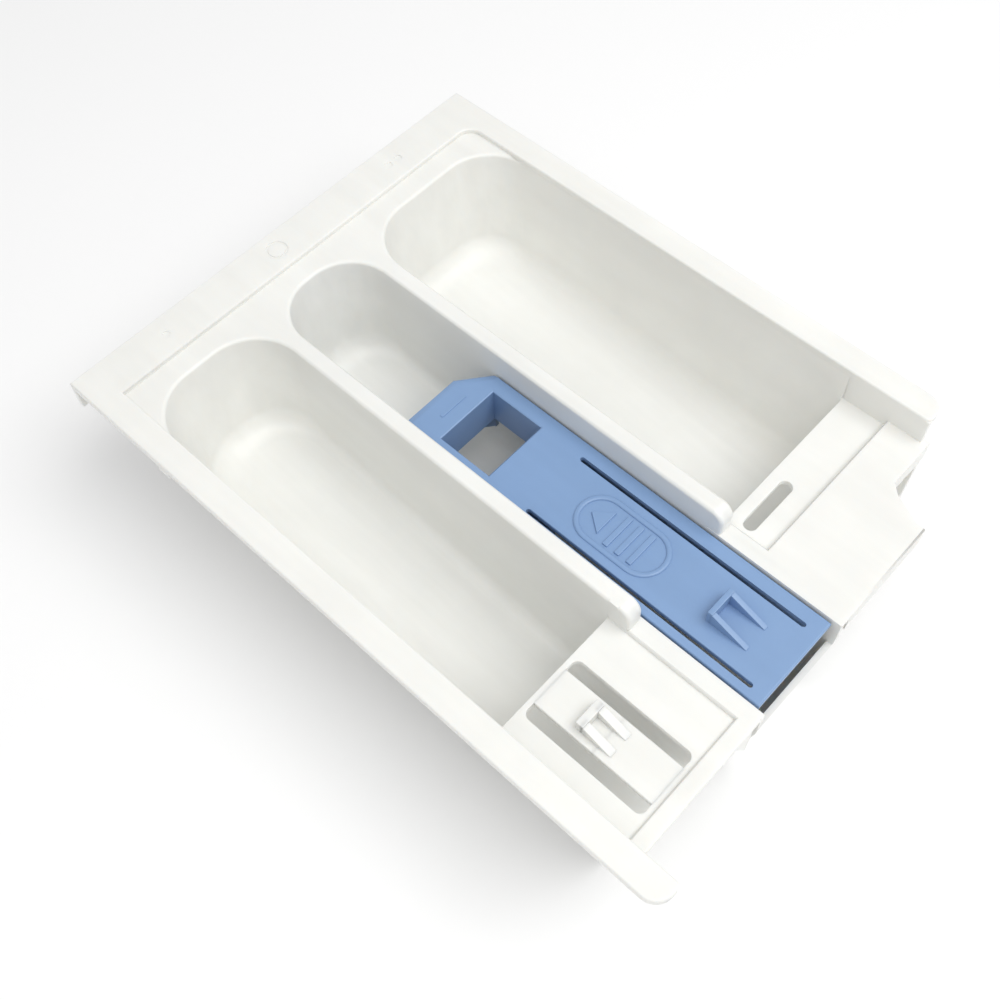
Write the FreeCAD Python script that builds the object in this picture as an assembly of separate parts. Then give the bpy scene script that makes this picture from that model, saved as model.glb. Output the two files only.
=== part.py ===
# Detergent drawer of a front-loading washing machine, with the lift-out siphon cover of its
# softener bin.  Millimetres.  +X is the user's right, +Y runs into the machine, +Z is up.
# The origin is the bottom centre of the whole drawer.
import FreeCAD, Part
import math
import os

V = FreeCAD.Vector

# ---- Overall sizes --------------------------------------------------------------------------
tray_width = 192.6          # across the two side rails
tray_length = 248.0         # front edge to the rear edge of the deck
tray_height = 68.0          # runner feet to the top of the rails
wall = 2.0                  # moulded wall of the tray
sheet = 2.2                 # flange, rail and plateau thickness
edge_round = 0.7            # rounding of the outer edges of rails, strip, deck and cover
rim_round = 1.3             # rounding of the bins' rims
rim_steps = 4
lead_in = 0.6               # small slope round the platform, the shelf and the chute

# ---- Rails and front strip ------------------------------------------------------------------
rail_width = 10.0
rail_lip = 3.2              # depth of the turned-down edge of a rail
front_strip = 17.0          # raised strip that carries the bin marks
front_lip = 12.0            # turned-down edge that meets the front panel
right_rail_overhang = 14.0  # right finger past the deck
left_rail_setback = 20.0    # left finger short of the deck
finger_radius = 6.5         # outer corner of a rail's free end
finger_inner_radius = 2.0
stop_tab_place = 47.0       # small stop under the right rail
stop_tab_length = 6.0
stop_tab_drop = 2.6
plateau_drop = 2.0          # plateau around the bins, below the rails
plateau_corner = 6.0        # round corner of the plateau at the front left

# ---- Bins -----------------------------------------------------------------------------------
bin_front_margin = 9.0      # plateau in front of the bins
divider_width = 6.5         # double wall between two bins
prewash_width = 52.3
softener_width = 39.8
bin_corner = 20.0           # front corners in plan
floor_slope = 0.10          # fall of the floor towards the rear
outer_draft = 0.13          # outer and front walls lean in by this share of their depth
divider_draft = 0.025
outer_fillet = 12.0         # floor fillet along outer and front walls
divider_fillet = 5.0
fillet_steps = 6
rear_lean = 0.28            # lean of the rear ends under the deck

# ---- Rear deck ------------------------------------------------------------------------------
deck_drop = 12.3            # deck below the rails
deck_front_gap = 48.0       # from the divider step to the deck's rear edge
platform_depth = 56.5       # prewash platform, front edge to the deck's rear edge
platform_drop = 1.6
platform_rim = 6.0          # raised rim behind the platform
shelf_depth = 51.0          # main-wash shelf, front edge to the deck's rear edge
shelf_drop = 3.0
shelf_width_y = 17.5
shelf_slot_length = 24.0
shelf_slot_width = 5.0
shelf_slot_inset = 3.0      # from the divider
shelf_slot_place = 7.0      # slot centre from the shelf's front edge
skirt_depth = 9.5
left_ear_width = 27.5       # part of the deck beside the left rail that stops short
left_ear_setback = 17.5
left_ear_slant = 5.0        # across and along, where the short part runs into the rear edge
left_ear_corner = 3.5
step_round = 5.0            # rounded top of a divider's step
step_foot = 2.0             # hollow fillet at its foot
cheek_width = 7.7           # small web behind the right divider, under the deck
cheek_depth = 18.5
softener_lip_drop = 26.0    # rear wall of the softener bin, below the rails
softener_lip_wall = 2.3     # thickness of that wall along its top
softener_lean = 0.2         # lean of the softener bin's rear wall

# ---- Stop tongue in the prewash platform ----------------------------------------------------
slot_width = 5.0
slot_front_land = 2.0
slot_rear_land = 2.0
tongue_width = 15.0
tongue_offset = 3.2         # tongue centre, right of the platform's centre
seam = 0.05                 # gap at the ends of a tongue that is its own body
stop_hook_width = 10.0
stop_hook_height = 5.0
stop_hook_wall = 3.0
stop_hook_length = 14.0
stop_hook_place = 14.5      # from the tongue's front end

# ---- Softener cover -------------------------------------------------------------------------
cover_drop = 13.2           # top of the cover, below the rails
cover_sheet = 2.0
cover_wall = 1.6
cover_left_gap = 0.9
cover_right_gap = 1.4
cover_length = 154.4
cover_rear_gap = 3.0        # cover's rear edge, ahead of the deck's rear edge
cover_chamfer_x = 11.4
cover_chamfer_y = 9.2
cover_bevel_width = 2.5     # sloping band along the cover's front edges
cover_bevel_drop = 1.2
chute_left = 5.8            # chute's inner face from the cover's left edge
chute_width = 26.4
chute_front = 14.2          # chute's inner face from the cover's front edge
chute_length = 22.7
chute_depth = 17.0
skirt_inset = 0.9
front_wall_depth = 29.0
ledge_width = 3.6
ledge_length = 9.0
ledge_depth = 2.0

# ---- Siphon ---------------------------------------------------------------------------------
siphon_place = 10.0         # behind the chute
standpipe_bore_r = 2.8
standpipe_r = 4.2
standpipe_drop = 27.0       # its mouth, below the rails
cap_tube_bore_r = 6.2
cap_tube_r = 7.6
cap_tube_floor_gap = 3.0

# ---- Release tongue in the cover ------------------------------------------------------------
slit_width = 1.7
slit_left = 6.2             # slit centre from the cover's left edge
slit_spacing = 27.4
release_length = 91.7
release_rear_land = 6.3     # cover behind the tongue
ring_front = 10.8           # push ring from the tongue's front end
ring_length = 36.6
ring_width = 19.2
ring_line = 1.9
emboss = 0.7                # height of the raised marks
arrow_place = 5.0           # its point, from the front of the ring
arrow_width = 10.4
arrow_length = 6.7
grip_bars = 3
grip_gap = 3.6
grip_pitch = 5.0
grip_length = 13.6
grip_width = 2.1
hook_place = 68.0           # catch from the tongue's front end
hook_width = 11.5
hook_height = 6.0
hook_wall = 2.0
hook_length = 16.0

# ---- Runner ribs and marks ------------------------------------------------------------------
rib_width = 2.0
rib_front_inset = 26.0
rib_rear_inset = 21.0
mark_depth = 0.4
mark_dot_r = 1.5            # one dot marks the prewash bin, two the main-wash bin
mark_pitch = 5.0
mark_ring_r = 4.2           # a ring marks the softener bin
mark_ring_line = 0.9

def floor_z(y):
    """Top of the bins' floor."""
    return wall + floor_slope * (tray_length - y)


# ---- Worked-out places ----------------------------------------------------------------------
half = tray_width / 2
rail_inner = half - rail_width
front_y = -(tray_length + right_rail_overhang) / 2
bin_right = rail_inner
bin_left = -rail_inner
prewash_left = bin_right - prewash_width
softener_right = prewash_left - divider_width
softener_left = softener_right - softener_width
main_right = softener_left - divider_width
bins_front = front_strip + bin_front_margin
plateau_z = tray_height - plateau_drop
deck_z = tray_height - deck_drop
deck_start = tray_length - deck_front_gap
platform_front = tray_length - platform_depth
platform_z = deck_z - platform_drop
platform_rear = tray_length - platform_rim
shelf_front = tray_length - shelf_depth
shelf_z = deck_z - shelf_drop
bin_depth = plateau_z - floor_z((bins_front + tray_length) / 2)
softener_lip_z = tray_height - softener_lip_drop
lip_share = (plateau_z - softener_lip_z) / (plateau_z - floor_z(tray_length))
softener_rear = tray_length - softener_lip_wall + softener_lean * lip_share * bin_depth
outlet_rear = tray_length - 2 * wall + rear_lean * (deck_drop - plateau_drop + sheet)
cover_z = tray_height - cover_drop
cover_left = softener_left + cover_left_gap
cover_right = softener_right - cover_right_gap
cover_rear = tray_length - cover_rear_gap
cover_front = cover_rear - cover_length
skirt_z = cover_z - chute_depth
release_front = cover_rear - release_rear_land - release_length
tongue_mid = (prewash_left + bin_right) / 2 + tongue_offset
stop_front = platform_front + slot_front_land
ear_x = -rail_inner + left_ear_width
ear_y = tray_length - left_ear_setback
skirt_low = deck_z - skirt_depth
stop_rear = platform_rear - slot_rear_land
release_left = cover_left + slit_left + slit_width / 2
release_right = release_left + slit_spacing - slit_width
release_mid = (release_left + release_right) / 2
siphon_x = (cover_left + cover_right) / 2
siphon_y = cover_front + chute_front + chute_length + siphon_place


def at(x, y, z):
    """Point whose y is measured from the drawer's front edge."""
    return V(x, y + front_y, z)


def box(x0, x1, y0, y1, z0, z1):
    return Part.makeBox(x1 - x0, y1 - y0, z1 - z0, at(x0, y0, z0))


def prism_x(points, x0, x1):
    """Prism along X from (y, z) points."""
    ring = [at(x0, y, z) for y, z in points]
    face = Part.Face(Part.makePolygon(ring + ring[:1]))
    return face.extrude(V(x1 - x0, 0, 0))


def prism_z(points, z0, z1):
    """Prism along Z from (x, y) points."""
    ring = [at(x, y, z0) for x, y in points]
    face = Part.Face(Part.makePolygon(ring + ring[:1]))
    return face.extrude(V(0, 0, z1 - z0))


def sloped_rim(x0, x1, y0, y1, z, sides):
    """What to cut to slope the rim of a recess; sides has 1 for each of x0, x1, y0, y1 to do."""
    grow = [lead_in * side for side in sides]
    outer = (x0 - grow[0], x1 + grow[1], y0 - grow[2], y1 + grow[3])
    rings = []
    for (left, right, front, rear), height in (((x0, x1, y0, y1), z - lead_in), (outer, z)):
        ring = [at(left, front, height), at(right, front, height), at(right, rear, height),
                at(left, rear, height)]
        rings.append(Part.makePolygon(ring + ring[:1]))
    return Part.makeLoft(rings, True, True)


def prism_y(points, y0, y1):
    """Prism along Y from (x, z) points."""
    ring = [at(x, y0, z) for x, z in points]
    face = Part.Face(Part.makePolygon(ring + ring[:1]))
    return face.extrude(V(0, y1 - y0, 0))


def slot_y(x_mid, y0, y1, width, z0, z1):
    """Upright slot with round ends, long side along Y."""
    r = width / 2
    body = box(x_mid - r, x_mid + r, y0 + r, y1 - r, z0, z1)
    for y in (y0 + r, y1 - r):
        body = body.fuse(Part.makeCylinder(r, z1 - z0, at(x_mid, y, z0)))
    return body


def slot_x(y_mid, x0, x1, width, z0, z1):
    """Upright slot with round ends, long side along X."""
    r = width / 2
    body = box(x0 + r, x1 - r, y_mid - r, y_mid + r, z0, z1)
    for x in (x0 + r, x1 - r):
        body = body.fuse(Part.makeCylinder(r, z1 - z0, at(x, y_mid, z0)))
    return body


def side_inset(depth, draft, fillet):
    """How far a wall stands in from its top edge at a depth, with its floor fillet."""
    straight = bin_depth - fillet
    if depth <= straight:
        return draft * depth
    rise = min(1.0, (depth - straight) / fillet)
    return draft * straight + fillet * (1.0 - math.sqrt(1.0 - rise * rise))


def bin_section(bounds, drafts, share, grow, rear_draft, flare):
    """Closed outline of a bin at a share of its depth, on a plane between rim and floor."""
    x0, x1, y0, y1 = bounds
    depth = share * bin_depth
    left = x0 + side_inset(depth, drafts[0][0], drafts[0][1]) - grow - flare
    right = x1 - side_inset(depth, drafts[1][0], drafts[1][1]) + grow + flare
    front = y0 + side_inset(depth, outer_draft, outer_fillet) - grow - flare
    rear = y1 - rear_draft * depth + grow

    def place(x, y):
        return at(x, y, plateau_z + share * (floor_z(y) - grow - plateau_z))

    lean_in = side_inset(depth, divider_draft, divider_fillet)
    r = min(bin_corner - lean_in + grow + flare, 0.45 * (right - left))
    s = r * (1.0 - math.sqrt(0.5))
    edges = [
        Part.LineSegment(place(left + r, front), place(right - r, front)),
        Part.Arc(place(right - r, front), place(right - s, front + s), place(right, front + r)),
        Part.LineSegment(place(right, front + r), place(right, rear)),
        Part.LineSegment(place(right, rear), place(left, rear)),
        Part.LineSegment(place(left, rear), place(left, front + r)),
        Part.Arc(place(left, front + r), place(left + s, front + s), place(left + r, front)),
    ]
    return Part.Wire([edge.toShape() for edge in edges])


def bin_body(bounds, drafts, grow, rear_draft=0.0, rim=0.0):
    """Solid of a bin: the cavity with grow 0, its outside with grow equal to the wall."""
    levels = [(0.0, rim)]
    if rim > 0:
        for step in range(1, rim_steps + 1):
            turn = math.pi / 2 * step / rim_steps
            levels.append((rim * (1.0 - math.cos(turn)) / bin_depth, rim * (1.0 - math.sin(turn))))
    for step in range(fillet_steps + 1):
        turn = math.pi / 2 * step / fillet_steps
        levels.append((1.0 - outer_fillet * (1.0 - math.sin(turn)) / bin_depth, 0.0))
    rings = [bin_section(bounds, drafts, share, grow, rear_draft, flare)
             for share, flare in levels]
    body = Part.makeLoft(rings, True, True)
    if body.Volume < 0:
        body.reverse()
    return body


def cavity(bounds, drafts, rear_draft=0.0):
    """Inside of a bin, with its rounded rim, between the two rails."""
    body = bin_body(bounds, drafts, 0.0, rear_draft, rim_round)
    return body.common(box(bin_left, bin_right, 0, past_rear + 2 * rim_round, 0, tray_height))


OUTER = (outer_draft, outer_fillet)
INNER = (divider_draft, divider_fillet)
past_rear = tray_length + 30.0


def main_bin(rear):
    """Bounds and wall drafts of the main-wash bin."""
    return (bin_left, main_right, bins_front, rear), (OUTER, INNER)


def softener_bin(rear):
    return (softener_left, softener_right, bins_front, rear), (INNER, INNER)


def prewash_bin(rear):
    return (prewash_left, bin_right, bins_front, rear), (INNER, OUTER)


def round_corner(x_corner, inward, y_corner, r, z0, z1):
    """What to cut from a rear corner to round it; inward is the sign of X into the body."""
    x_mid = x_corner + inward * r
    block = box(min(x_mid, x_corner), max(x_mid, x_corner), y_corner - r, y_corner + 1, z0, z1)
    return block.cut(Part.makeCylinder(r, z1 - z0, at(x_mid, y_corner - r, z0)))


def round_edges(body, keep):
    """Round the edges of a body whose two ends both pass the test."""
    edges = [edge for edge in body.Edges if all(keep(end.Point) for end in edge.Vertexes)]
    return body.makeFillet(edge_round, edges)


def rails_and_strip():
    """Raised edge: front strip, both rails with rounded fingers, and the turned-down lips."""
    top = tray_height
    under = top - sheet / 2
    right_end = tray_length + right_rail_overhang
    left_end = tray_length - left_rail_setback
    body = box(-half, half, 0, front_strip, top - sheet, top)
    lips = [box(-half, half, 0, sheet, top - front_lip, under)]
    for side, end in ((-1, left_end), (1, right_end)):
        x_in = side * rail_inner
        x_out = side * half
        low, high = min(x_in, x_out), max(x_in, x_out)
        rail = box(low, high, 0, end, top - sheet, top)
        lip_in = side * (half - wall)
        lip = box(min(lip_in, x_out), max(lip_in, x_out), 0, end, top - rail_lip, under)
        lip = lip.fuse(box(low, high, end - wall, end, top - rail_lip, under))
        for x_corner, inward, r in ((x_out, -side, finger_radius),
                                    (x_in, side, finger_inner_radius)):
            corner = round_corner(x_corner, inward, end, r, top - rail_lip - 1, top + 1)
            rail = rail.cut(corner)
            lip = lip.cut(corner)
        body = body.fuse(rail)
        lips.append(lip)
    c = plateau_corner
    web = box(-rail_inner, -rail_inner + c, front_strip, front_strip + c, top - sheet, top)
    web = web.cut(Part.makeCylinder(c, top, at(-rail_inner + c, front_strip + c, 0)))
    body = body.fuse(web).removeSplitter()
    body = round_edges(body, lambda point: point.z > under)
    tab = box(half - wall, half, stop_tab_place, stop_tab_place + stop_tab_length,
              top - rail_lip - stop_tab_drop, top - rail_lip)
    return body.fuse(lips + [tab])


def plateau():
    """Sheet around the bins, one step below the rails."""
    low = plateau_z - sheet
    body = box(-rail_inner - wall, rail_inner + wall, front_strip - wall, deck_start, low,
               plateau_z)
    left_wall = box(-rail_inner - wall, -rail_inner, front_strip, tray_length - left_rail_setback,
                    deck_z - sheet, tray_height - sheet / 2)
    right_wall = box(rail_inner, rail_inner + wall, front_strip, tray_length, deck_z - sheet,
                     tray_height - sheet / 2)
    front_wall = box(-rail_inner - wall, rail_inner + wall, front_strip - wall, front_strip, low,
                     tray_height - sheet / 2)
    return body.fuse([left_wall, right_wall, front_wall])


def deck():
    """Lower sheet across the rear, its step, and the bridges over the outer bins."""
    body = box(-rail_inner - wall, rail_inner + wall, deck_start - wall, tray_length,
               deck_z - sheet, deck_z)
    rear = tray_length + front_y
    body = round_edges(body, lambda point: point.z > deck_z - sheet / 2 and point.y > rear - wall)
    step = box(-rail_inner - wall, rail_inner + wall, deck_start - wall, deck_start,
               deck_z - sheet, plateau_z)
    platform = box(prewash_left - wall, rail_inner + wall, platform_front, tray_length - wall,
                   platform_z - wall, deck_z)
    shelf = box(-rail_inner - wall, main_right + wall, shelf_front,
                shelf_front + shelf_width_y + wall, shelf_z - wall, deck_z)
    feet = [step_fillet(main_right, softener_left), step_fillet(softener_right, prewash_left)]
    return body.fuse([step, platform, shelf] + feet)


def step_fillet(x0, x1):
    """Hollow fillet at the foot of a divider's step."""
    r = step_foot
    block = box(x0, x1, deck_start - wall / 2, deck_start + r, deck_z - sheet / 2, deck_z + r)
    roll = Part.makeCylinder(r, x1 - x0, at(x0, deck_start + r, deck_z + r), V(1, 0, 0))
    return block.cut(roll)


def left_ear(grow, z0, z1):
    """What the deck and the main-wash bin leave free beside the left rail's end."""
    y0 = ear_y - grow
    x1 = ear_x + grow
    slant_x = x1 - left_ear_slant
    return prism_z([(-half - 1, y0), (slant_x - left_ear_corner, y0),
                    (slant_x, y0 + left_ear_corner), (x1, tray_length - left_ear_corner),
                    (x1, past_rear), (-half - 1, past_rear)], z0, z1)


def skirts():
    """Upright edges under the deck's rear edge and round the left ear."""
    under = deck_z - sheet / 2
    rear = box(ear_x, main_right + wall, tray_length - wall, tray_length, skirt_low, under)
    ear = left_ear(wall, skirt_low, under).cut(left_ear(0.0, 0.0, tray_height))
    ear = ear.cut(box(-half, half, tray_length, past_rear + 1, 0, tray_height))
    ear = ear.cut(box(-half - 2, -rail_inner - wall, 0, past_rear, 0, tray_height))
    cheek = prism_y([(prewash_left - wall / 2, under), (prewash_left + cheek_width, under),
                     (prewash_left - wall / 2, under - cheek_depth)],
                    tray_length - wall, tray_length)
    return [rear, ear, cheek]


def lower_rear(body, x0, x1, y_front):
    """Take a bin's walls down to the deck behind the divider step."""
    return body.cut(box(x0, x1, y_front, past_rear + 40, deck_z, tray_height + 5))


def runner_ribs():
    """Two upright ribs under the outer bins, level along the bottom, that carry the drawer."""
    ribs = []
    for mid in ((bin_left + main_right) / 2, (prewash_left + bin_right) / 2):
        y0 = bins_front + rib_front_inset
        y1 = tray_length - rib_rear_inset
        ribs.append(prism_x([(y0, 0), (y1, 0), (y1, floor_z(y1)), (y0, floor_z(y0))],
                            mid - rib_width / 2, mid + rib_width / 2))
    return ribs


def marks():
    """Shallow marks in the front strip: one dot, a ring and two dots."""
    z0 = tray_height - mark_depth
    y_mid = front_strip / 2
    prewash_mid = (prewash_left + bin_right) / 2
    main_mid = (bin_left + main_right) / 2
    cuts = [Part.makeCylinder(mark_dot_r, sheet, at(x, y_mid, z0))
            for x in (prewash_mid, main_mid - mark_pitch / 2, main_mid + mark_pitch / 2)]
    centre = at((softener_left + softener_right) / 2, y_mid, z0)
    ring = Part.makeCylinder(mark_ring_r, sheet, centre)
    return cuts + [ring.cut(Part.makeCylinder(mark_ring_r - mark_ring_line, sheet, centre))]


def cover_ledges():
    """Four small ledges in the softener bin that carry the cover's skirts."""
    ledges = []
    spans = (cover_front + 22.0, release_front + release_length - 22.0)
    for y in spans:
        for x0, x1 in ((softener_left - 0.5, softener_left + ledge_width),
                       (softener_right - ledge_width, softener_right + 0.5)):
            ledges.append(box(x0, x1, y, y + ledge_length, skirt_z - ledge_depth, skirt_z))
    return ledges


def platform_slots():
    """The two slots and the seams that set the stop tongue free in the platform."""
    z0, z1 = platform_z - 5, platform_z + 5
    reach = tongue_width / 2 + slot_width / 2
    cuts = [slot_y(tongue_mid + side * reach, stop_front, stop_rear, slot_width, z0, z1)
            for side in (-1, 1)]
    cuts.append(box(tongue_mid - reach, tongue_mid + reach, stop_front, stop_rear, z0, z1))
    return cuts


def rounded_end(x0, x1, place):
    """Closed outline of a divider's end with rounded corners; place turns (x, reach) to 3-D."""
    c = rim_round
    s = c * (1.0 - math.sqrt(0.5))
    r = step_round
    edges = [
        Part.LineSegment(place(x0, 0), place(x0, r - c)),
        Part.Arc(place(x0, r - c), place(x0 + s, r - s), place(x0 + c, r)),
        Part.LineSegment(place(x0 + c, r), place(x1 - c, r)),
        Part.Arc(place(x1 - c, r), place(x1 - s, r - s), place(x1, r - c)),
        Part.LineSegment(place(x1, r - c), place(x1, 0)),
        Part.LineSegment(place(x1, 0), place(x0, 0)),
    ]
    return Part.Wire([edge.toShape() for edge in edges])


def rounded_step(x0, x1):
    """What to cut from a divider so that its rounded top rolls over into the step."""
    y0 = deck_start - step_round
    z0 = plateau_z - step_round
    block = box(x0 - wall, x1 + wall, y0, deck_start + 1, deck_z, tray_height)
    across = Part.Face(rounded_end(x0, x1, lambda x, reach: at(x, y0, z0 + reach)))
    roll = across.revolve(at(0, y0, z0), V(1, 0, 0), -90)
    lean = divider_draft * (z0 - deck_z)
    post = Part.makeLoft([rounded_end(x0, x1, lambda x, reach: at(x, y0 + reach, z0)),
                          rounded_end(x0 - lean, x1 + lean,
                                      lambda x, reach: at(x, y0 + reach, deck_z))], True, True)
    return block.cut([roll, post])


def make_tray():
    main_out = lower_rear(bin_body(*main_bin(outlet_rear), wall, rear_lean), -half,
                          main_right + divider_width / 2, deck_start)
    prewash_out = lower_rear(bin_body(*prewash_bin(outlet_rear), wall, rear_lean),
                             prewash_left - divider_width / 2, half, deck_start)
    soft_x = (softener_left - wall - 1, softener_right + wall + 1)
    soft_out = lower_rear(bin_body(*softener_bin(softener_rear), wall, softener_lean), *soft_x,
                          deck_start)
    soft_out = soft_out.cut(box(*soft_x, tray_length, past_rear, softener_lip_z, tray_height))
    body = rails_and_strip()
    body = body.fuse([plateau(), deck(), main_out, prewash_out, soft_out] + runner_ribs())

    over_deck = box(-half, half, platform_front, past_rear, platform_z - wall, tray_height)
    over_shelf = box(-half, half, shelf_front, past_rear, shelf_z - wall, tray_height)
    under_lip = box(*soft_x, bins_front, past_rear + 1, 0, softener_lip_z)
    body = body.cut([cavity(*prewash_bin(past_rear)).cut(over_deck),
                     cavity(*main_bin(past_rear)).cut(over_shelf),
                     cavity(*softener_bin(past_rear)).cut(under_lip),
                     cavity(*softener_bin(softener_rear), softener_lean)])
    # Clear what stands above the platform, the shelf and the deck.
    top = tray_height + 1
    body = body.cut([
        box(prewash_left, rail_inner, platform_front, platform_rear, platform_z, top),
        sloped_rim(prewash_left, rail_inner, platform_front, platform_rear, deck_z, (1, 0, 0, 1)),
        box(-rail_inner, main_right, shelf_front, shelf_front + shelf_width_y, shelf_z, top),
        sloped_rim(-rail_inner, main_right, shelf_front, shelf_front + shelf_width_y, deck_z,
                   (0, 1, 0, 1)),
        box(-rail_inner, rail_inner, deck_start, past_rear, deck_z, top),
        rounded_step(main_right, softener_left),
        rounded_step(softener_right, prewash_left),
    ])
    body = body.cut(left_ear(0.0, 0.0, deck_z + 1)).fuse(skirts())
    body = body.cut(platform_slots())
    shelf_slot_right = main_right - shelf_slot_inset
    body = body.cut(slot_x(shelf_front + shelf_slot_place, shelf_slot_right - shelf_slot_length,
                           shelf_slot_right, shelf_slot_width, shelf_z - 5, shelf_z + 1))
    body = body.cut(marks())
    pipe_low = floor_z(siphon_y) - wall - 1
    pipe_top = tray_height - standpipe_drop
    pipe = Part.makeCylinder(standpipe_r, pipe_top - pipe_low, at(siphon_x, siphon_y, pipe_low))
    bore = Part.makeCylinder(standpipe_bore_r, pipe_top - pipe_low + 2,
                             at(siphon_x, siphon_y, pipe_low - 1))
    body = body.fuse([pipe] + cover_ledges())
    return body.cut(bore).removeSplitter()


def cover_outline(inset, z):
    """Plan outline of the cover, moved in by an inset."""
    x0, x1 = cover_left + inset, cover_right - inset
    y0, y1 = cover_front + inset, cover_rear - inset
    cx, cy = cover_chamfer_x - inset * 0.4, cover_chamfer_y - inset * 0.4
    return [(x0, y1), (x1, y1), (x1, y0), (x0 + cx, y0), (x0, y0 + cy)]


def cover_plate():
    """Flat of the cover, with a sloping band along its front edge and its cut corner."""
    low = cover_z - cover_sheet
    edge = cover_z - cover_bevel_drop
    plate = prism_z(cover_outline(0.0, low), low, edge)
    slant = cover_bevel_width * math.hypot(cover_chamfer_x, cover_chamfer_y) / (
        cover_chamfer_x * cover_chamfer_y)
    y0 = cover_front + cover_bevel_width
    corner_x = cover_left + cover_chamfer_x * (1 + slant - cover_bevel_width / cover_chamfer_y)
    corner_y = cover_front + cover_chamfer_y * (1 + slant)
    upper = [(cover_left, cover_rear), (cover_right, cover_rear), (cover_right, y0),
             (corner_x, y0), (cover_left, corner_y)]
    rings = []
    for outline, z in ((cover_outline(0.0, low), edge), (upper, cover_z)):
        ring = [at(x, y, z) for x, y in outline]
        rings.append(Part.makePolygon(ring + ring[:1]))
    plate = plate.fuse(Part.makeLoft(rings, True, True)).removeSplitter()
    rear = cover_rear + front_y

    def on_side(point):
        beside = min(point.x - cover_left, cover_right - point.x, rear - point.y)
        return point.z > edge + cover_bevel_drop / 2 and beside < cover_bevel_drop / 2

    return round_edges(plate, on_side)


def make_cover():
    low = cover_z - cover_sheet
    body = cover_plate()
    skirt = prism_z(cover_outline(skirt_inset, low), skirt_z, low)
    hollow = prism_z(cover_outline(skirt_inset + cover_wall, low), skirt_z - 1, low)
    open_rear = box(cover_left - 1, cover_right + 1, cover_rear - 4.0, cover_rear + 1,
                    skirt_z - 1, low)
    body = body.fuse(skirt.cut(hollow.fuse(open_rear)))
    apron = prism_z(cover_outline(skirt_inset, low), cover_z - front_wall_depth, skirt_z)
    apron = apron.cut(prism_z(cover_outline(skirt_inset + cover_wall, low), 0, tray_height))
    apron = apron.cut(box(-half, half, cover_front + cover_chamfer_y + 2.0, tray_length + 5, 0,
                          tray_height))
    body = body.fuse(apron)
    x0 = cover_left + chute_left
    x1 = x0 + chute_width
    y0 = cover_front + chute_front
    y1 = y0 + chute_length
    w = cover_wall
    body = body.fuse(box(x0 - w, x1 + w, y0 - w, y1 + w, skirt_z, low))
    body = body.cut([box(x0, x1, y0, y1, skirt_z - 1, cover_z + 1),
                     sloped_rim(x0, x1, y0, y1, cover_z, (1, 1, 1, 1))])
    tube_low = floor_z(siphon_y) + cap_tube_floor_gap
    axis = at(siphon_x, siphon_y, tube_low)
    tube = Part.makeCylinder(cap_tube_r, low - tube_low, axis)
    tube = tube.cut(Part.makeCylinder(cap_tube_bore_r, low - tube_low, axis))
    body = body.fuse(tube)
    z0, z1 = low - 1, cover_z + 1
    y2 = release_front + release_length
    r = slit_width / 2
    for x in (release_left - r, release_right + r):
        body = body.cut(slot_y(x, release_front - r, y2 + r, slit_width, z0, z1))
    return body.cut(box(release_left - r, release_right + r, release_front, y2, z0,
                        z1)).removeSplitter()


def catch(x_mid, y0, z0, width, height, thick, length):
    """Upright cross wall with two ribs that fall away behind it."""
    half_width = width / 2
    body = box(x_mid - half_width, x_mid + half_width, y0, y0 + thick, z0 - 0.3, z0 + height)
    side = [(y0 + thick / 2, z0 - 0.3), (y0 + length, z0 - 0.3), (y0 + length, z0 + 0.3),
            (y0 + thick / 2, z0 + height)]
    for x0 in (x_mid - half_width, x_mid + half_width - thick):
        body = body.fuse(prism_x(side, x0, x0 + thick))
    return body


def make_stop_tongue():
    body = box(tongue_mid - tongue_width / 2, tongue_mid + tongue_width / 2, stop_front + seam,
               stop_rear - seam, platform_z - wall, platform_z)
    hook = catch(tongue_mid, stop_front + stop_hook_place, platform_z, stop_hook_width,
                 stop_hook_height, stop_hook_wall, stop_hook_length)
    return body.fuse(hook).removeSplitter()


def make_release_tongue():
    y1 = release_front + release_length
    body = box(release_left, release_right, release_front + seam, y1 - seam,
               cover_z - cover_sheet, cover_z)
    top = cover_z + emboss
    y0 = release_front + ring_front
    ring = slot_y(release_mid, y0, y0 + ring_length, ring_width, cover_z - 0.2, top)
    inner = slot_y(release_mid, y0 + ring_line, y0 + ring_length - ring_line,
                   ring_width - 2 * ring_line, cover_z - 1, top + 1)
    arrow_y = y0 + arrow_place
    arrow = prism_z([(release_mid, arrow_y),
                     (release_mid + arrow_width / 2, arrow_y + arrow_length),
                     (release_mid - arrow_width / 2, arrow_y + arrow_length)],
                    cover_z - 0.2, top)
    parts = [ring.cut(inner), arrow]
    for bar in range(grip_bars):
        y = arrow_y + arrow_length + grip_gap + grip_pitch * bar
        parts.append(box(release_mid - grip_length / 2, release_mid + grip_length / 2, y,
                         y + grip_width, cover_z - 0.2, top))
    parts.append(catch(release_mid, release_front + hook_place, cover_z, hook_width, hook_height,
                       hook_wall, hook_length))
    return body.fuse(parts).removeSplitter()


NODES = {
    "drawer_tray": make_tray,
    "siphon_cover": make_cover,
    "release_tongue": make_release_tongue,
    "stop_tongue": make_stop_tongue,
}

os.makedirs("parts", exist_ok=True)
for name, make in NODES.items():
    shape = make()
    shape.exportStep("parts/" + name + ".step")
    print(name, "solids", len(shape.Solids), "valid", shape.isValid(), "volume",
          round(shape.Volume), shape.BoundBox)
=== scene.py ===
import math

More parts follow.
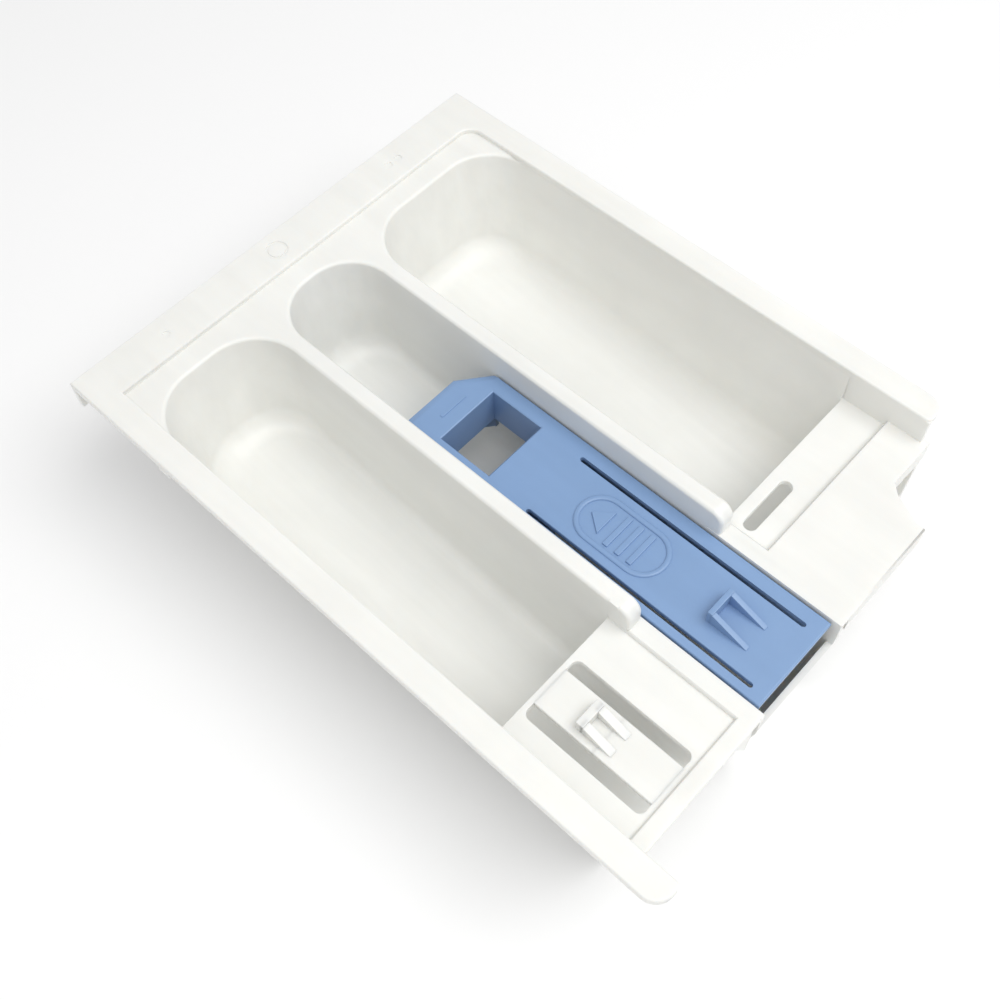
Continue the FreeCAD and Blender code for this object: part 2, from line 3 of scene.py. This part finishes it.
import bmesh
import bpy
from bpy.props import FloatProperty, FloatVectorProperty, IntProperty, PointerProperty
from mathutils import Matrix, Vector


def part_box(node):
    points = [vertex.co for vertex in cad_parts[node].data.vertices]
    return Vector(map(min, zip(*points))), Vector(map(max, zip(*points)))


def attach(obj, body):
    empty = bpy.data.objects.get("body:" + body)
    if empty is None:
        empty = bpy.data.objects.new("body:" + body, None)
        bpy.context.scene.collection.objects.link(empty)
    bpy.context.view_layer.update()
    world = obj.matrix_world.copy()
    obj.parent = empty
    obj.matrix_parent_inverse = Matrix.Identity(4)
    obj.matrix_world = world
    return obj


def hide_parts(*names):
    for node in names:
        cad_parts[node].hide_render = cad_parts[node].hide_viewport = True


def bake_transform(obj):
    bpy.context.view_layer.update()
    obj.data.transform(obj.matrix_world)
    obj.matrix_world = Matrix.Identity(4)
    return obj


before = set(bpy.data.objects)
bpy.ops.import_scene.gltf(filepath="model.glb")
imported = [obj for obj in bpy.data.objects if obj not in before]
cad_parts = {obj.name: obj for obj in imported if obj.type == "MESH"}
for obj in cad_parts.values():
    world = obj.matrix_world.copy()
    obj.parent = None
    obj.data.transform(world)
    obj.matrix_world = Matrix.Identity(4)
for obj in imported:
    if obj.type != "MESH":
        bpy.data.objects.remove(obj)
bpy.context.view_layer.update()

bl_info = {
    "name": "Detergent Drawer",
    "version": (1, 0, 0),
    "blender": (4, 5, 0),
    "location": "3D View > Sidebar > Detergent Drawer",
    "description": "Builds the looks of a detergent drawer around its packed model",
    "category": "Object",
}

MM = 0.001
NEAR = 0.1 * MM                     # two places this close are the same place
WELD = 0.01 * MM                    # corners this close are merged
FLAT_TURN = math.radians(0.05)      # faces that turn less than this are one flat face
SHARP_TURN = math.radians(32)       # edges that turn more than this stay crisp
OUTER_TURN = math.radians(60)       # edges that turn more than this get a rounding
MARK_ROOT = 0.2 * MM                # how deep a raised mark stands in its plate
CATCH_ROOT = 0.4 * MM               # how deep a catch stands in its tongue
CATCH_WALL_ROUND = 0.35 * MM
CATCH_RIB_ROUND = 0.3 * MM
CORNER_STEPS = (0, 30, 60, 90)      # degrees round a plate's upper edge
RING_STEPS = 24                     # round each end of the push ring
RING_SIDE_STEPS = 9                 # along each straight side of it
TONGUE_STEPS = 20                   # cuts that let a half of the release tongue bend
STOP_STEPS = 14                     # the same for the stop tongue


def length(name, description, millimetres):
    """A length property, given in millimetres and kept in metres."""
    return FloatProperty(name=name, description=description, default=millimetres * MM,
                         subtype="DISTANCE", unit="LENGTH", precision=5)


# ---- Settings -------------------------------------------------------------------------------
class FinishSettings(bpy.types.PropertyGroup):
    white_colour: FloatVectorProperty(
        name="White", description="Colour of the tray's polypropylene", subtype="COLOR",
        size=3, min=0, max=1, default=(0.83, 0.83, 0.80))
    blue_colour: FloatVectorProperty(
        name="Blue", description="Colour of the cover's polypropylene", subtype="COLOR",
        size=3, min=0, max=1, default=(0.215, 0.34, 0.56))
    white_roughness: FloatProperty(
        name="White roughness", description="How satin the tray is", default=0.36,
        min=0, max=1, subtype="FACTOR")
    blue_roughness: FloatProperty(
        name="Blue roughness", description="How satin the cover is", default=0.33,
        min=0, max=1, subtype="FACTOR")
    grain_depth: length("Grain depth", "Depth of the mould's spark-eroded grain", 0.02)


class TraySettings(bpy.types.PropertyGroup):
    edge_radius: length("Edge radius", "Rounding round the slots", 0.35)
    shelf_level: length("Shelf level", "Height of the main-wash shelf", 52.7)


class CoverSettings(bpy.types.PropertyGroup):
    edge_radius: length("Edge radius", "Rounding along the slits", 0.2)
    line_length: length("Line length", "Length of the raised line before the chute", 12.0)
    line_width: length("Line width", "Width of the raised line before the chute", 1.2)
    line_place: length("Line place", "From the cover's front edge to the line", 7.6)
    line_height: length("Line height", "How far the line stands out", 0.35)


class ReleaseSettings(bpy.types.PropertyGroup):
    thickness: length("Thickness", "Thickness of the tongue", 2.0)
    edge_radius: length("Edge radius", "Rounding of the tongue's long edges", 0.4)
    split: length("Split", "From the tongue's front end to where its two halves meet", 53.0)
    front_bend: length("Front bend", "Length over which the front half bends", 43.0)
    rear_bend: length("Rear bend", "Length over which the rear half bends", 34.0)
    ring_front: length("Ring front", "From the tongue's front end to the push ring", 10.75)
    ring_length: length("Ring length", "Length of the push ring", 36.6)
    ring_width: length("Ring width", "Width of the push ring", 19.2)
    ring_line: length("Ring line", "Width of the ring's raised line", 1.9)
    emboss: length("Emboss", "Height of the raised marks", 0.7)
    seam: length("Seam", "Gap at each end of the tongue, which its two ends close", 0.05)
    arrow_place: length("Arrow place", "From the ring's front to the arrow's point", 5.0)
    arrow_width: length("Arrow width", "Width of the arrow", 10.4)
    arrow_length: length("Arrow length", "Length of the arrow", 6.7)
    bar_gap: length("Bar gap", "From the arrow to the first grip bar", 3.6)
    bar_pitch: length("Bar pitch", "From one grip bar to the next", 5.0)
    bar_length: length("Bar length", "Length of a grip bar", 13.6)
    bar_width: length("Bar width", "Width of a grip bar", 2.1)
    bars: IntProperty(name="Bars", description="Number of grip bars", default=3, min=0, max=6)
    catch_place: length("Catch place", "From the tongue's front end to the catch", 67.95)
    catch_width: length("Catch width", "Width of the catch", 11.5)
    catch_wall: length("Catch wall", "Thickness of the catch's walls", 2.0)
    catch_length: length("Catch length", "Length of the catch with its ribs", 16.0)


class StopSettings(bpy.types.PropertyGroup):
    seam: length("Seam", "Gap at each end of the tongue, which its two ends close", 0.05)
    thickness: length("Thickness", "Thickness of the tongue", 2.0)
    edge_radius: length("Edge radius", "Rounding of the tongue's long edges", 0.5)
    split: length("Split", "From the tongue's front end to where its two halves meet", 23.5)
    bend: length("Bend", "Length over which each half bends", 12.5)
    catch_place: length("Catch place", "From the tongue's front end to the catch", 14.45)
    catch_width: length("Catch width", "Width of the catch", 10.0)
    catch_wall: length("Catch wall", "Thickness of the catch's walls", 3.0)
    catch_length: length("Catch length", "Length of the catch with its ribs", 14.0)


class StageSettings(bpy.types.PropertyGroup):
    floor_size: length("Floor size", "Half the width of the floor", 3000.0)
    floor_colour: FloatVectorProperty(
        name="Floor", description="Colour of the floor", subtype="COLOR", size=3, min=0,
        max=1, default=(0.93, 0.93, 0.93))
    sky: FloatProperty(name="Sky", description="Strength of the light from all round",
                       default=0.60, min=0)
    key_power: FloatProperty(name="Key power", description="Power of the soft lamp on the left",
                             default=9.0, min=0, unit="POWER")
    key_place: FloatVectorProperty(name="Key place", description="Where that lamp hangs",
                                   subtype="TRANSLATION", unit="LENGTH", size=3,
                                   default=(-0.30, 0.60, 1.25))
    fill_power: FloatProperty(name="Fill power", description="Power of the soft lamp on the right",
                              default=4.0, min=0, unit="POWER")
    fill_place: FloatVectorProperty(name="Fill place", description="Where that lamp hangs",
                                    subtype="TRANSLATION", unit="LENGTH", size=3,
                                    default=(0.40, 0.30, 1.25))
    lamp_size: length("Lamp size", "Width of both soft lamps", 900.0)
    lens: FloatProperty(name="Lens", description="Focal length of the camera in millimetres",
                        default=44.55, min=1)
    camera_place: FloatVectorProperty(name="Camera place", description="Where the camera is",
                                      subtype="TRANSLATION", unit="LENGTH", size=3,
                                      default=(0.17225, 0.15740, 0.41115))
    camera_turn: FloatVectorProperty(name="Camera turn", description="How the camera is turned",
                                     subtype="EULER", unit="ROTATION", size=3,
                                     default=(0.533610, 0.029424, 2.321606))


class DrawerSettings(bpy.types.PropertyGroup):
    finish: PointerProperty(type=FinishSettings, name="Finish", description="Plastics")
    tray: PointerProperty(type=TraySettings, name="Tray", description="Tray moulding")
    cover: PointerProperty(type=CoverSettings, name="Cover", description="Siphon cover")
    release: PointerProperty(type=ReleaseSettings, name="Release", description="Release tongue")
    stop: PointerProperty(type=StopSettings, name="Stop", description="Stop tongue")
    stage: PointerProperty(type=StageSettings, name="Stage", description="Floor and light")


# ---- Materials ------------------------------------------------------------------------------
def add_node(tree, kind, **inputs):
    """A shader node with its inputs set by name."""
    node = tree.nodes.new(kind)
    for name, value in inputs.items():
        node.inputs[name.replace("_", " ")].default_value = value
    return node


def moulded_plastic(name, colour, roughness, grain_depth, glow):
    """Moulded polypropylene: faint flow clouding, uneven satin and a fine spark-eroded grain."""
    material = bpy.data.materials.get(name)
    if material:
        return material
    material = bpy.data.materials.new(name)
    material.use_nodes = True
    tree = material.node_tree
    link = tree.links.new
    shader = tree.nodes["Principled BSDF"]
    shader.inputs["Subsurface Weight"].default_value = glow
    shader.inputs["Subsurface Radius"].default_value = (1.0, 0.9, 0.8)
    shader.inputs["Subsurface Scale"].default_value = 0.003
    shader.inputs["IOR"].default_value = 1.49
    place = tree.nodes.new("ShaderNodeTexCoord")

    clouds = add_node(tree, "ShaderNodeTexNoise", Scale=22.0, Detail=4.0, Roughness=0.55)
    link(place.outputs["Object"], clouds.inputs["Vector"])
    stretch = add_node(tree, "ShaderNodeMapping", Scale=(90.0, 9.0, 40.0))
    link(place.outputs["Object"], stretch.inputs["Vector"])
    flow = add_node(tree, "ShaderNodeTexNoise", Scale=1.0, Detail=3.0, Roughness=0.6)
    link(stretch.outputs["Vector"], flow.inputs["Vector"])
    both = tree.nodes.new("ShaderNodeMath")
    both.operation = "MULTIPLY"
    link(clouds.outputs["Fac"], both.inputs[0])
    link(flow.outputs["Fac"], both.inputs[1])
    tint = tree.nodes.new("ShaderNodeValToRGB")
    tint.color_ramp.elements[0].position = 0.12
    tint.color_ramp.elements[0].color = (*[part * 0.95 for part in colour], 1)
    tint.color_ramp.elements[1].position = 0.40
    tint.color_ramp.elements[1].color = (*[min(1, part * 1.03) for part in colour], 1)
    link(both.outputs["Value"], tint.inputs["Fac"])
    link(tint.outputs["Color"], shader.inputs["Base Color"])

    rub = add_node(tree, "ShaderNodeTexNoise", Scale=60.0, Detail=5.0, Roughness=0.65)
    link(place.outputs["Object"], rub.inputs["Vector"])
    satin = tree.nodes.new("ShaderNodeMapRange")
    satin.inputs["From Min"].default_value = 0.3
    satin.inputs["From Max"].default_value = 0.7
    satin.inputs["To Min"].default_value = roughness - 0.04
    satin.inputs["To Max"].default_value = roughness + 0.06
    link(rub.outputs["Fac"], satin.inputs["Value"])
    link(satin.outputs["Result"], shader.inputs["Roughness"])

    grain = add_node(tree, "ShaderNodeTexNoise", Scale=1800.0, Detail=2.0, Roughness=0.5)
    link(place.outputs["Object"], grain.inputs["Vector"])
    bump = add_node(tree, "ShaderNodeBump", Strength=0.25, Distance=grain_depth)
    link(grain.outputs["Fac"], bump.inputs["Height"])
    link(bump.outputs["Normal"], shader.inputs["Normal"])
    return material


def floor_paint(colour):
    """Matt pale floor with a faint mottle."""
    material = bpy.data.materials.new("floor_paint")
    material.use_nodes = True
    tree = material.node_tree
    shader = tree.nodes["Principled BSDF"]
    shader.inputs["Roughness"].default_value = 0.85
    shader.inputs["Specular IOR Level"].default_value = 0.2
    place = tree.nodes.new("ShaderNodeTexCoord")
    mottle = add_node(tree, "ShaderNodeTexNoise", Scale=3.0, Detail=3.0)
    tree.links.new(place.outputs["Object"], mottle.inputs["Vector"])
    tint = tree.nodes.new("ShaderNodeValToRGB")
    tint.color_ramp.elements[0].color = (*[part * 0.985 for part in colour], 1)
    tint.color_ramp.elements[1].color = (*colour, 1)
    tree.links.new(mottle.outputs["Fac"], tint.inputs["Fac"])
    tree.links.new(tint.outputs["Color"], shader.inputs["Base Color"])
    return material


def white_plastic(settings):
    finish = settings.finish
    return moulded_plastic("white_polypropylene", finish.white_colour, finish.white_roughness,
                           finish.grain_depth, 0.4)


def blue_plastic(settings):
    finish = settings.finish
    return moulded_plastic("blue_polypropylene", finish.blue_colour, finish.blue_roughness,
                           finish.grain_depth, 0.06)


# ---- Shapes ---------------------------------------------------------------------------------
def node_copy(node):
    """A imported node's mesh with its seams merged and its flat faces whole."""
    bm = bmesh.new()
    bm.from_mesh(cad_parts[node].data)
    bmesh.ops.remove_doubles(bm, verts=bm.verts, dist=WELD)
    bmesh.ops.dissolve_limit(bm, angle_limit=FLAT_TURN, verts=bm.verts, edges=bm.edges)
    return bm


def round_edges(bm, edges, radius, segments):
    """Round the given edges."""
    bmesh.ops.bevel(bm, geom=edges, offset=radius, offset_type="OFFSET", affect="EDGES",
                    segments=segments, profile=0.5, material=-1, clamp_overlap=True)


def level_edges(bm, level, tongue):
    """Sharp outer edges at one height, but not those where a tongue grows out of its part."""
    low, high = tongue
    chosen = []
    for edge in bm.edges:
        if len(edge.link_faces) != 2 or not edge.is_convex:
            continue
        if any(abs(vert.co.z - level) > NEAR for vert in edge.verts):
            continue
        middle = (edge.verts[0].co + edge.verts[1].co) / 2
        root = min(abs(middle.y - low[1]), abs(middle.y - high[1])) < NEAR
        if root and low[0] - NEAR < middle.x < high[0] + NEAR:
            continue
        if edge.calc_face_angle() > OUTER_TURN:
            chosen.append(edge)
    return chosen


def bar(bm, section, y0, y1, steps):
    """A bar along Y from a closed section of (x, z) points, cut so that it can bend."""
    face = bm.faces.new([bm.verts.new((x, y0, z)) for x, z in section])
    for _ in range(steps):
        made = bmesh.ops.extrude_face_region(bm, geom=[face])["geom"]
        moved = [item for item in made if isinstance(item, bmesh.types.BMVert)]
        bmesh.ops.translate(bm, verts=moved, vec=(0, (y1 - y0) / steps, 0))
        face = [item for item in made if isinstance(item, bmesh.types.BMFace)][0]
    edge = (y1 - y0) / steps / 2
    inner = []
    for face in bm.faces:
        places = [vert.co.y for vert in face.verts]
        if max(places) - min(places) < edge / 10 and y0 + edge < places[0] < y1 - edge:
            inner.append(face)
    if inner:
        bmesh.ops.delete(bm, geom=inner, context="FACES_ONLY")


def plate_section(x0, x1, z0, z1, radius):
    """Section of a plate whose two upper edges are rounded."""
    points = [(x0, z0), (x1, z0)]
    for turn in CORNER_STEPS:
        a = math.radians(turn)
        points.append((x1 - radius + radius * math.cos(a), z1 - radius + radius * math.sin(a)))
    for turn in reversed(CORNER_STEPS):
        a = math.radians(turn)
        points.append((x0 + radius - radius * math.cos(a), z1 - radius + radius * math.sin(a)))
    return points


def slab(bm, points, height, radius):
    """An upright slab on a closed outline of (x, y, z) points, its upper edges rounded."""
    face = bm.faces.new([bm.verts.new(point) for point in points])
    made = bmesh.ops.extrude_face_region(bm, geom=[face])["geom"]
    moved = [item for item in made if isinstance(item, bmesh.types.BMVert)]
    bmesh.ops.translate(bm, verts=moved, vec=(0, 0, height))
    top = [item for item in made if isinstance(item, bmesh.types.BMFace)][0]
    edges = list(top.edges)
    corners = {vert for edge in edges for vert in edge.verts}
    edges += [edge for vert in corners for edge in vert.link_edges if edge not in edges]
    round_edges(bm, edges, radius, 2)


def block(bm, x0, x1, y0, y1, z0, z1, radius):
    """A box with its upper edges rounded."""
    slab(bm, [(x0, y0, z0), (x1, y0, z0), (x1, y1, z0), (x0, y1, z0)], z1 - z0, radius)


def wedge(bm, side, x0, x1, radius):
    """A rib between two planes of X from its outline of (y, z) points."""
    face = bm.faces.new([bm.verts.new((x0, y, z)) for y, z in side])
    made = bmesh.ops.extrude_face_region(bm, geom=[face])["geom"]
    moved = [item for item in made if isinstance(item, bmesh.types.BMVert)]
    bmesh.ops.translate(bm, verts=moved, vec=(x1 - x0, 0, 0))
    here = {vert for item in made if isinstance(item, bmesh.types.BMFace) for vert in item.verts}
    here |= set(face.verts)
    edges = [edge for edge in bm.edges if set(edge.verts) <= here]
    round_edges(bm, edges, radius, 2)


def ring_line(bm, x_mid, y0, y1, width, line, z, height):
    """A raised line round a long ring, half round on top."""
    radius = (width - line) / 2
    low, high = y0 + line / 2 + radius, y1 - line / 2 - radius
    path = []
    for step in range(RING_STEPS + 1):
        a = math.pi * step / RING_STEPS
        path.append((x_mid + radius * math.cos(a), high + radius * math.sin(a), math.cos(a),
                     math.sin(a)))
    for step in range(1, RING_SIDE_STEPS):
        path.append((x_mid - radius, high + (low - high) * step / RING_SIDE_STEPS, -1.0, 0.0))
    for step in range(RING_STEPS + 1):
        a = math.pi + math.pi * step / RING_STEPS
        path.append((x_mid + radius * math.cos(a), low + radius * math.sin(a), math.cos(a),
                     math.sin(a)))
    for step in range(1, RING_SIDE_STEPS):
        path.append((x_mid + radius, low + (high - low) * step / RING_SIDE_STEPS, 1.0, 0.0))
    shape = [(-0.5, -0.3), (-0.5, 0.45), (-0.36, 0.85), (-0.15, 1.0), (0.15, 1.0), (0.36, 0.85),
             (0.5, 0.45), (0.5, -0.3)]
    loops = []
    for x, y, nx, ny in path:
        loops.append([bm.verts.new((x + nx * across * line, y + ny * across * line,
                                    z + up * height)) for across, up in shape])
    for one, two in zip(loops, loops[1:] + loops[:1]):
        for i in range(len(shape)):
            j = (i + 1) % len(shape)
            bm.faces.new((one[i], one[j], two[j], two[i]))


def catch(bm, x_mid, y0, z0, z1, settings):
    """Upright cross wall with two ribs that fall away behind it."""
    x0, x1 = x_mid - settings.catch_width / 2, x_mid + settings.catch_width / 2
    wall = settings.catch_wall
    sunk = z0 - CATCH_ROOT
    block(bm, x0, x1, y0, y0 + wall, sunk, z1, CATCH_WALL_ROUND)
    side = [(y0 + wall * 0.6, sunk), (y0 + settings.catch_length, sunk),
            (y0 + settings.catch_length, z0 + 0.3 * MM), (y0 + wall * 0.6, z1 - 0.1 * MM)]
    wedge(bm, side, x0, x0 + wall, CATCH_RIB_ROUND)
    wedge(bm, side, x1 - wall, x1, CATCH_RIB_ROUND)


def piece(bm, name, material):
    """Turn a finished bmesh into a shown piece with outward normals and even shading."""
    bmesh.ops.recalc_face_normals(bm, faces=bm.faces)
    mesh = bpy.data.meshes.new(name)
    bm.to_mesh(mesh)
    bm.free()
    mesh.materials.append(material)
    for polygon in mesh.polygons:
        polygon.use_smooth = True
    mesh.set_sharp_from_angle(angle=SHARP_TURN)
    made = bpy.data.objects.new(name, mesh)
    bpy.context.scene.collection.objects.link(made)
    even = made.modifiers.new("flat faces keep their shading", "WEIGHTED_NORMAL")
    even.keep_sharp = True
    even.weight = 80
    return made


# ---- Operators ------------------------------------------------------------------------------
class DRAWER_OT_tray(bpy.types.Operator):
    """Build the looks of the tray moulding"""
    bl_idname = "drawer.tray"
    bl_label = "Build tray"

    def execute(self, context):
        settings = context.scene.detergent_drawer
        bm = node_copy("drawer_tray")
        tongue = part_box("stop_tongue")
        for level in (tongue[0][2] + settings.stop.thickness, settings.tray.shelf_level):
            round_edges(bm, level_edges(bm, level, tongue), settings.tray.edge_radius, 2)
        made = piece(bm, "tray_moulding", white_plastic(settings))
        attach(made, "tray")
        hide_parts("drawer_tray")
        return {"FINISHED"}


class DRAWER_OT_cover(bpy.types.Operator):
    """Build the looks of the siphon cover and the raised line on it"""
    bl_idname = "drawer.cover"
    bl_label = "Build cover"

    def execute(self, context):
        settings = context.scene.detergent_drawer
        cover = settings.cover
        blue = blue_plastic(settings)
        low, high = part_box("siphon_cover")
        tongue_low, tongue_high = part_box("release_tongue")
        bm = node_copy("siphon_cover")
        round_edges(bm, level_edges(bm, high[2], (tongue_low, tongue_high)), cover.edge_radius, 2)
        made = piece(bm, "cover_moulding", blue)
        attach(made, "cover")
        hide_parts("siphon_cover")
        x_mid = (tongue_low[0] + tongue_high[0]) / 2
        y = low[1] + cover.line_place
        bm = bmesh.new()
        block(bm, x_mid - cover.line_length / 2, x_mid + cover.line_length / 2, y,
              y + cover.line_width, high[2] - MARK_ROOT, high[2] + cover.line_height, 0.2 * MM)
        line = piece(bm, "cover_level_line", blue)
        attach(line, "cover")
        return {"FINISHED"}


class DRAWER_OT_release(bpy.types.Operator):
    """Build the release tongue in two halves, with its push marks and its catch"""
    bl_idname = "drawer.release"
    bl_label = "Build release tongue"

    def execute(self, context):
        settings = context.scene.detergent_drawer
        release = settings.release
        blue = blue_plastic(settings)
        low, high = (Vector(corner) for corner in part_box("release_tongue"))
        top = low.z + release.thickness
        x_mid = (low.x + high.x) / 2
        split = low.y + release.split
        section = plate_section(low.x, high.x, low.z, top, release.edge_radius)

        def bend_front(made):
            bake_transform(made)

        def bend_rear(made):
            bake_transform(made)

        halves = (("release_tongue_front", low.y - release.seam, split, bend_front),
                  ("release_tongue_rear", split, high.y + release.seam, bend_rear))
        for name, y0, y1, bend in halves:
            bm = bmesh.new()
            bar(bm, section, y0, y1, TONGUE_STEPS)
            made = piece(bm, name, blue)
            bend(made)
            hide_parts("release_tongue")

        ring_y = low.y + release.ring_front
        bm = bmesh.new()
        ring_line(bm, x_mid, ring_y, ring_y + release.ring_length, release.ring_width,
                  release.ring_line, top, release.emboss)
        bend_front(piece(bm, "push_ring", blue))

        y = ring_y + release.arrow_place
        sunk = top - MARK_ROOT
        rise = release.emboss + MARK_ROOT
        bm = bmesh.new()
        slab(bm, [(x_mid, y, sunk), (x_mid + release.arrow_width / 2, y + release.arrow_length,
                                     sunk),
                  (x_mid - release.arrow_width / 2, y + release.arrow_length, sunk)], rise,
             0.25 * MM)
        bend_front(piece(bm, "push_arrow", blue))

        y += release.arrow_length + release.bar_gap
        for number in range(release.bars):
            bm = bmesh.new()
            block(bm, x_mid - release.bar_length / 2, x_mid + release.bar_length / 2, y,
                  y + release.bar_width, sunk, sunk + rise, 0.3 * MM)
            bend_front(piece(bm, "grip_bar_%d" % (number + 1), blue))
            y += release.bar_pitch

        bm = bmesh.new()
        catch(bm, x_mid, low.y + release.catch_place, top, high.z, release)
        bend_rear(piece(bm, "release_catch", blue))
        return {"FINISHED"}


class DRAWER_OT_stop(bpy.types.Operator):
    """Build the stop tongue in two halves, with its catch"""
    bl_idname = "drawer.stop"
    bl_label = "Build stop tongue"

    def execute(self, context):
        settings = context.scene.detergent_drawer
        stop = settings.stop
        white = white_plastic(settings)
        low, high = (Vector(corner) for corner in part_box("stop_tongue"))
        top = low.z + stop.thickness
        x_mid = (low.x + high.x) / 2
        split = low.y + stop.split
        section = plate_section(low.x, high.x, low.z, top, stop.edge_radius)
        halves = (("stop_tongue_front", low.y - stop.seam, split, "tray", "stop", low.y,
                   low.y + stop.bend),
                  ("stop_tongue_rear", split, high.y + stop.seam, "stop", "tray",
                   high.y - stop.bend, high.y))
        for name, y0, y1, first, second, start, end in halves:
            bm = bmesh.new()
            bar(bm, section, y0, y1, STOP_STEPS)
            made = piece(bm, name, white)
            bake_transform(made)
            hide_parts("stop_tongue")
        bm = bmesh.new()
        catch(bm, x_mid, low.y + stop.catch_place, top, high.z, stop)
        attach(piece(bm, "stop_catch", white), "stop")
        return {"FINISHED"}


class DRAWER_OT_stage(bpy.types.Operator):
    """Put the floor, the soft light and the camera in place"""
    bl_idname = "drawer.stage"
    bl_label = "Build stage"

    def execute(self, context):
        stage = context.scene.detergent_drawer.stage
        bm = bmesh.new()
        bmesh.ops.create_grid(bm, x_segments=1, y_segments=1, size=stage.floor_size)
        mesh = bpy.data.meshes.new("floor")
        bm.to_mesh(mesh)
        bm.free()
        mesh.materials.append(floor_paint(stage.floor_colour))
        floor = bpy.data.objects.new("floor", mesh)
        context.scene.collection.objects.link(floor)

        world = bpy.data.worlds.new("studio")
        context.scene.world = world
        world.use_nodes = True
        background = world.node_tree.nodes["Background"]
        background.inputs["Color"].default_value = (1, 1, 1, 1)
        background.inputs["Strength"].default_value = stage.sky

        lamps = (("key_softbox", stage.key_power, stage.key_place),
                 ("fill_softbox", stage.fill_power, stage.fill_place))
        for name, power, place in lamps:
            light = bpy.data.lights.new(name, "AREA")
            light.size = stage.lamp_size
            light.energy = power
            lamp = bpy.data.objects.new(name, light)
            lamp.location = place
            lamp.rotation_euler = (-Vector(place)).to_track_quat("-Z", "Y").to_euler()
            context.scene.collection.objects.link(lamp)

        lens = bpy.data.cameras.new("camera")
        lens.lens = stage.lens
        camera = bpy.data.objects.new("camera", lens)
        camera.location = stage.camera_place
        camera.rotation_euler = stage.camera_turn
        context.scene.collection.objects.link(camera)
        context.scene.camera = camera
        context.scene.view_settings.view_transform = "Standard"
        return {"FINISHED"}


class DRAWER_PT_panel(bpy.types.Panel):
    """Settings and buttons of the detergent drawer"""
    bl_idname = "DRAWER_PT_panel"
    bl_label = "Detergent Drawer"
    bl_space_type = "VIEW_3D"
    bl_region_type = "UI"
    bl_category = "Detergent Drawer"

    def draw(self, context):
        settings = context.scene.detergent_drawer
        groups = (("Finish", settings.finish, None), ("Tray", settings.tray, "drawer.tray"),
                  ("Cover", settings.cover, "drawer.cover"),
                  ("Release tongue", settings.release, "drawer.release"),
                  ("Stop tongue", settings.stop, "drawer.stop"),
                  ("Stage", settings.stage, "drawer.stage"))
        for title, group, button in groups:
            area = self.layout.box()
            area.label(text=title)
            for name in group.bl_rna.properties.keys():
                if name not in ("rna_type", "name"):
                    area.prop(group, name)
            if button:
                area.operator(button)


CLASSES = (FinishSettings, TraySettings, CoverSettings, ReleaseSettings, StopSettings,
           StageSettings, DrawerSettings, DRAWER_OT_tray, DRAWER_OT_cover, DRAWER_OT_release,
           DRAWER_OT_stop, DRAWER_OT_stage, DRAWER_PT_panel)


def register():
    for item in CLASSES:
        bpy.utils.register_class(item)
    bpy.types.Scene.detergent_drawer = PointerProperty(type=DrawerSettings)


def unregister():
    del bpy.types.Scene.detergent_drawer
    for item in reversed(CLASSES):
        bpy.utils.unregister_class(item)


def main():
    register()
    bpy.ops.drawer.tray()
    bpy.ops.drawer.cover()
    bpy.ops.drawer.release()
    bpy.ops.drawer.stop()
    bpy.ops.drawer.stage()


if __name__ == "__main__":
    main()
